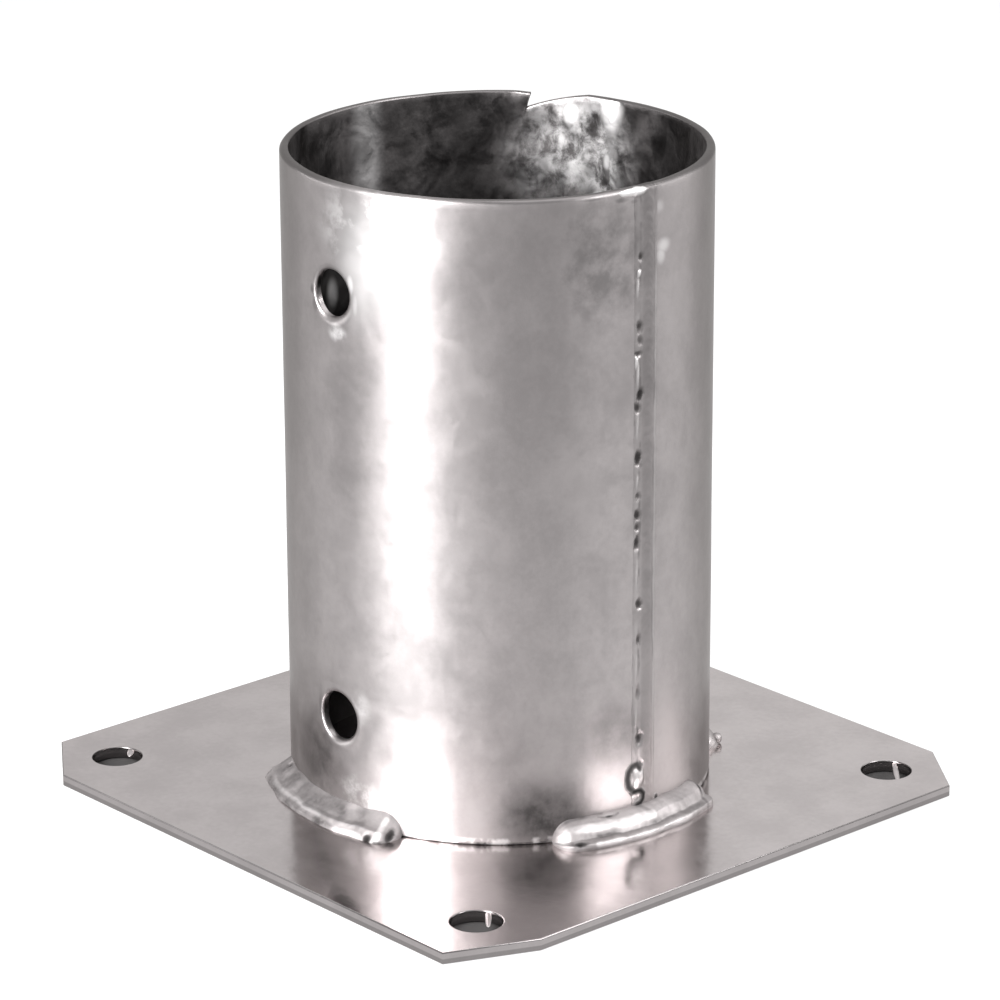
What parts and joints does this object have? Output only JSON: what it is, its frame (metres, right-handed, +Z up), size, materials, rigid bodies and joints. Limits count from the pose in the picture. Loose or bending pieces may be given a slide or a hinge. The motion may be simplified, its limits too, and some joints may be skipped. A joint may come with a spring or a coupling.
{
  "type": "column base plate",
  "caption": "Square steel base plate with clipped corners and anchor holes, carrying a stitch-welded, cross-drilled sleeve for a round post.",
  "frame": {"origin": "centre of the plate's underside, on the sleeve's axis", "axes": "+Z up along the sleeve, out of its open end; X and Y parallel to the plate's sides; the cross-bolt holes run along Y and the sleeve's seam weld faces +X"},
  "size_m": [0.172, 0.172, 0.164],
  "materials": {
    "plate_steel": "galvanised, satin",
    "sleeve_steel": "galvanised, satin",
    "weld_metal": "galvanised over weld, rough"
  },
  "bodies": {
    "root": {"base_plate": "plate_steel", "post_sleeve": "sleeve_steel", "seam_weld": "weld_metal", "stitch_weld_plus_x": "weld_metal", "stitch_weld_plus_y": "weld_metal", "stitch_weld_minus_x": "weld_metal", "stitch_weld_minus_y": "weld_metal"}
  },
  "joints": []
}
